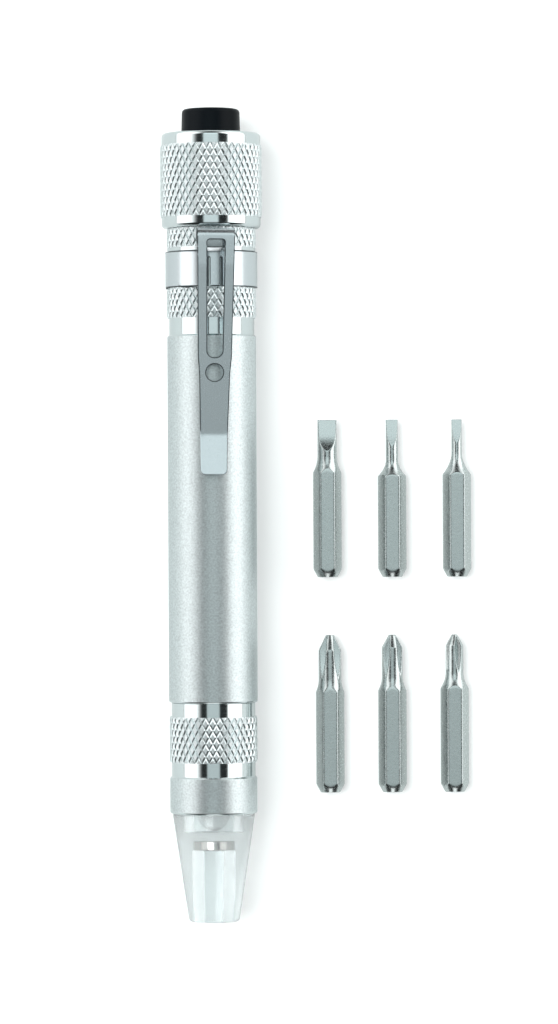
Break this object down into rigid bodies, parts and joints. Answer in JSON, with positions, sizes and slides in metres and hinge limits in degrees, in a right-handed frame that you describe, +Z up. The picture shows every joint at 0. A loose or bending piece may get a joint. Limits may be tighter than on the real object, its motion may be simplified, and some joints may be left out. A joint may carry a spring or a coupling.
{
  "type": "multi-tool pen",
  "caption": "Pocket pen driver with a lighted clear nose and hexagonal bit socket, push button tail switch, spring clip, and its slotted and cross bits laid beside it.",
  "frame": {"origin": "on the table that the set lies on, under the middle of the pen and its bits", "axes": "+Y along the pen from the clear nose to the push button, +X from the pen to its bits, +Z up; the pocket clip is on top"},
  "size_m": [0.049, 0.1282, 0.0179],
  "materials": {
    "barrel_aluminium": "bead-blasted satin anodised tube, polished neck, knurled grips",
    "cap_aluminium": "polished end bands with a diamond knurl between",
    "sleeve_aluminium": "satin band, diamond knurl and polished grooves",
    "ring_aluminium": "turned",
    "clip_steel": "bright stamped spring steel, fine-brushed along the arm",
    "magazine_plastic": "moulded",
    "white_plastic": "moulded",
    "housing_plastic": "moulded",
    "button_plastic": "moulded, fine texture with a soft sheen",
    "brass": "turned contact metal",
    "cell_steel": "nickel-plated can",
    "spring_steel": "drawn wire",
    "seal_rubber": "matt",
    "clear_plastic": "clear, polished",
    "magnet_nickel": "nickel-plated",
    "led_resin": "clear epoxy lens",
    "board_laminate": "green laminate",
    "resistor_ceramic": "chip",
    "bit_steel": "ground hexagon, satin plated, polished tip"
  },
  "bodies": {
    "barrel": {"barrel": "barrel_aluminium", "clip_band": "clip_steel", "bit_magazine": "magazine_plastic", "contact_rod": "brass", "battery_sleeve": "white_plastic", "cell_contact": "brass", "cell_1": "cell_steel", "cell_2": "cell_steel", "cell_3": "cell_steel"},
    "clip_arm": {"clip_arm": "clip_steel"},
    "cap_travel": {"cap_seal": "seal_rubber"},
    "tail_cap": {"tail_cap": "cap_aluminium", "switch_housing": "housing_plastic", "switch_contact": "brass", "switch_spring": "spring_steel", "battery_spring": "spring_steel", "retaining_ring": "ring_aluminium"},
    "push_button": {"push_button": "button_plastic", "switch_plunger": "white_plastic", "plunger_contact": "brass"},
    "nose_travel": {"nose_seal": "seal_rubber"},
    "front_sleeve": {"front_sleeve": "sleeve_aluminium", "nose_cone": "clear_plastic", "magnet": "magnet_nickel", "led": "led_resin", "led_board": "board_laminate", "led_resistor": "resistor_ceramic", "led_contact": "brass", "led_spring": "spring_steel", "led_holder": "white_plastic"},
    "bit_slotted_3": {"bit_slotted_3": "bit_steel"},
    "bit_slotted_2": {"bit_slotted_2": "bit_steel"},
    "bit_slotted_1_5": {"bit_slotted_1_5": "bit_steel"},
    "bit_cross_1": {"bit_cross_1": "bit_steel"},
    "bit_cross_0": {"bit_cross_0": "bit_steel"},
    "bit_cross_00": {"bit_cross_00": "bit_steel"}
  },
  "joints": [
    {"name": "cap_rise", "type": "slide", "parent": "barrel", "child": "cap_travel", "axis": [0, 1, 0], "range_m": [0, 0.00337]},
    {"name": "cap_turn", "type": "hinge", "parent": "cap_travel", "child": "tail_cap", "pos_m": [-0.01654, 0.0452, 0.008], "axis": [0, 1, 0], "range_deg": [0, 1640]},
    {"name": "button_press", "type": "slide", "parent": "tail_cap", "child": "push_button", "axis": [0, -1, 0], "range_m": [0, 0.0012], "stiffness_N_per_m": 900, "deforming": ["switch_spring"]},
    {"name": "nose_drop", "type": "slide", "parent": "barrel", "child": "nose_travel", "axis": [0, -1, 0], "range_m": [0, 0.00374]},
    {"name": "nose_turn", "type": "hinge", "parent": "nose_travel", "child": "front_sleeve", "pos_m": [-0.01654, -0.0292, 0.008], "axis": [0, -1, 0], "range_deg": [0, 1820]},
    {"name": "clip_flex", "type": "hinge", "parent": "barrel", "child": "clip_arm", "pos_m": [-0.01573, 0.04365, 0.01638], "axis": [-0.9954, 0, 0.0958], "range_deg": [0, 4], "stiffness_Nm_per_rad": 0.6},
    {"name": "bit_slotted_3_lift", "type": "slide", "parent": "barrel", "child": "bit_slotted_3", "axis": [0, 0, 1], "range_m": [0, 0.03]},
    {"name": "bit_slotted_2_lift", "type": "slide", "parent": "barrel", "child": "bit_slotted_2", "axis": [0, 0, 1], "range_m": [0, 0.03]},
    {"name": "bit_slotted_1_5_lift", "type": "slide", "parent": "barrel", "child": "bit_slotted_1_5", "axis": [0, 0, 1], "range_m": [0, 0.03]},
    {"name": "bit_cross_1_lift", "type": "slide", "parent": "barrel", "child": "bit_cross_1", "axis": [0, 0, 1], "range_m": [0, 0.03]},
    {"name": "bit_cross_0_lift", "type": "slide", "parent": "barrel", "child": "bit_cross_0", "axis": [0, 0, 1], "range_m": [0, 0.03]},
    {"name": "bit_cross_00_lift", "type": "slide", "parent": "barrel", "child": "bit_cross_00", "axis": [0, 0, 1], "range_m": [0, 0.03]}
  ],
  "couplings": [
    {"joint": "cap_turn", "follows": "cap_rise", "rad_per_m": 8377.6},
    {"joint": "nose_turn", "follows": "nose_drop", "rad_per_m": 8377.6}
  ]
}
